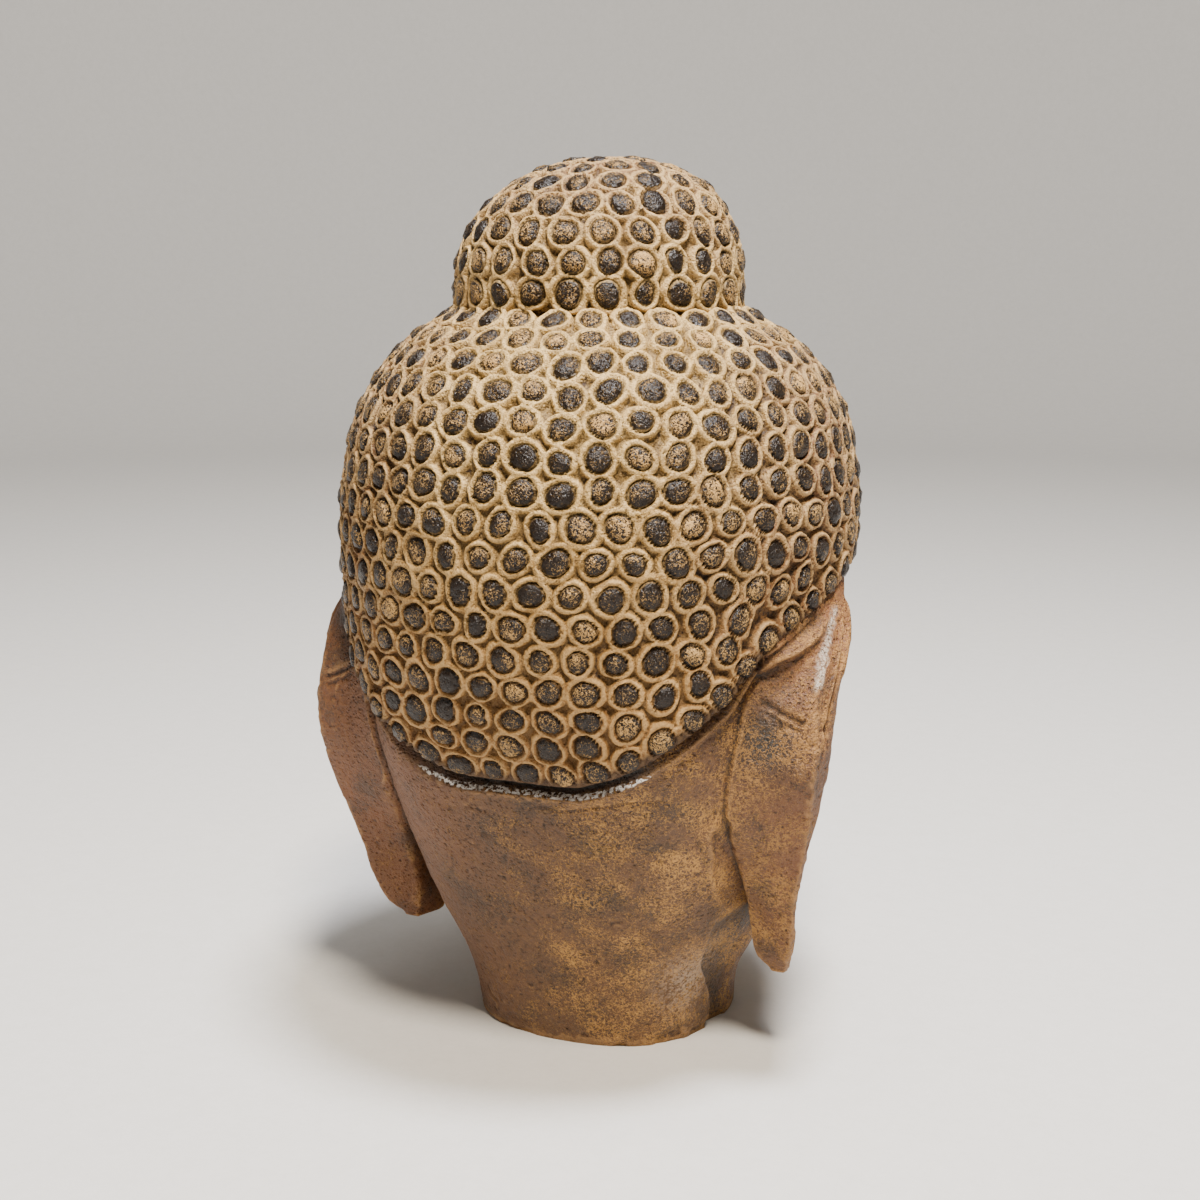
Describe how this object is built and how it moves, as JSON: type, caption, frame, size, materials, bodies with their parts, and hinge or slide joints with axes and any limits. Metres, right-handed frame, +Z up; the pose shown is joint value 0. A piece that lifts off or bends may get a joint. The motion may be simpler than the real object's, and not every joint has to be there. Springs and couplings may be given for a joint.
{
  "type": "stone buddha head",
  "caption": "Carved stone head with a calm face, long ears, a cap of round curls and a domed topknot, cut flat below the neck to stand as an ornament.",
  "frame": {"origin": "on the flat underside of the neck, below the middle of the cap of hair", "axes": "+Z up along the head, the face looks along -Y, the left ear is towards +X"},
  "size_m": [0.247, 0.2473, 0.399],
  "materials": {
    "stone": "weathered"
  },
  "bodies": {
    "root": {"buddha_head": "stone"}
  },
  "joints": []
}
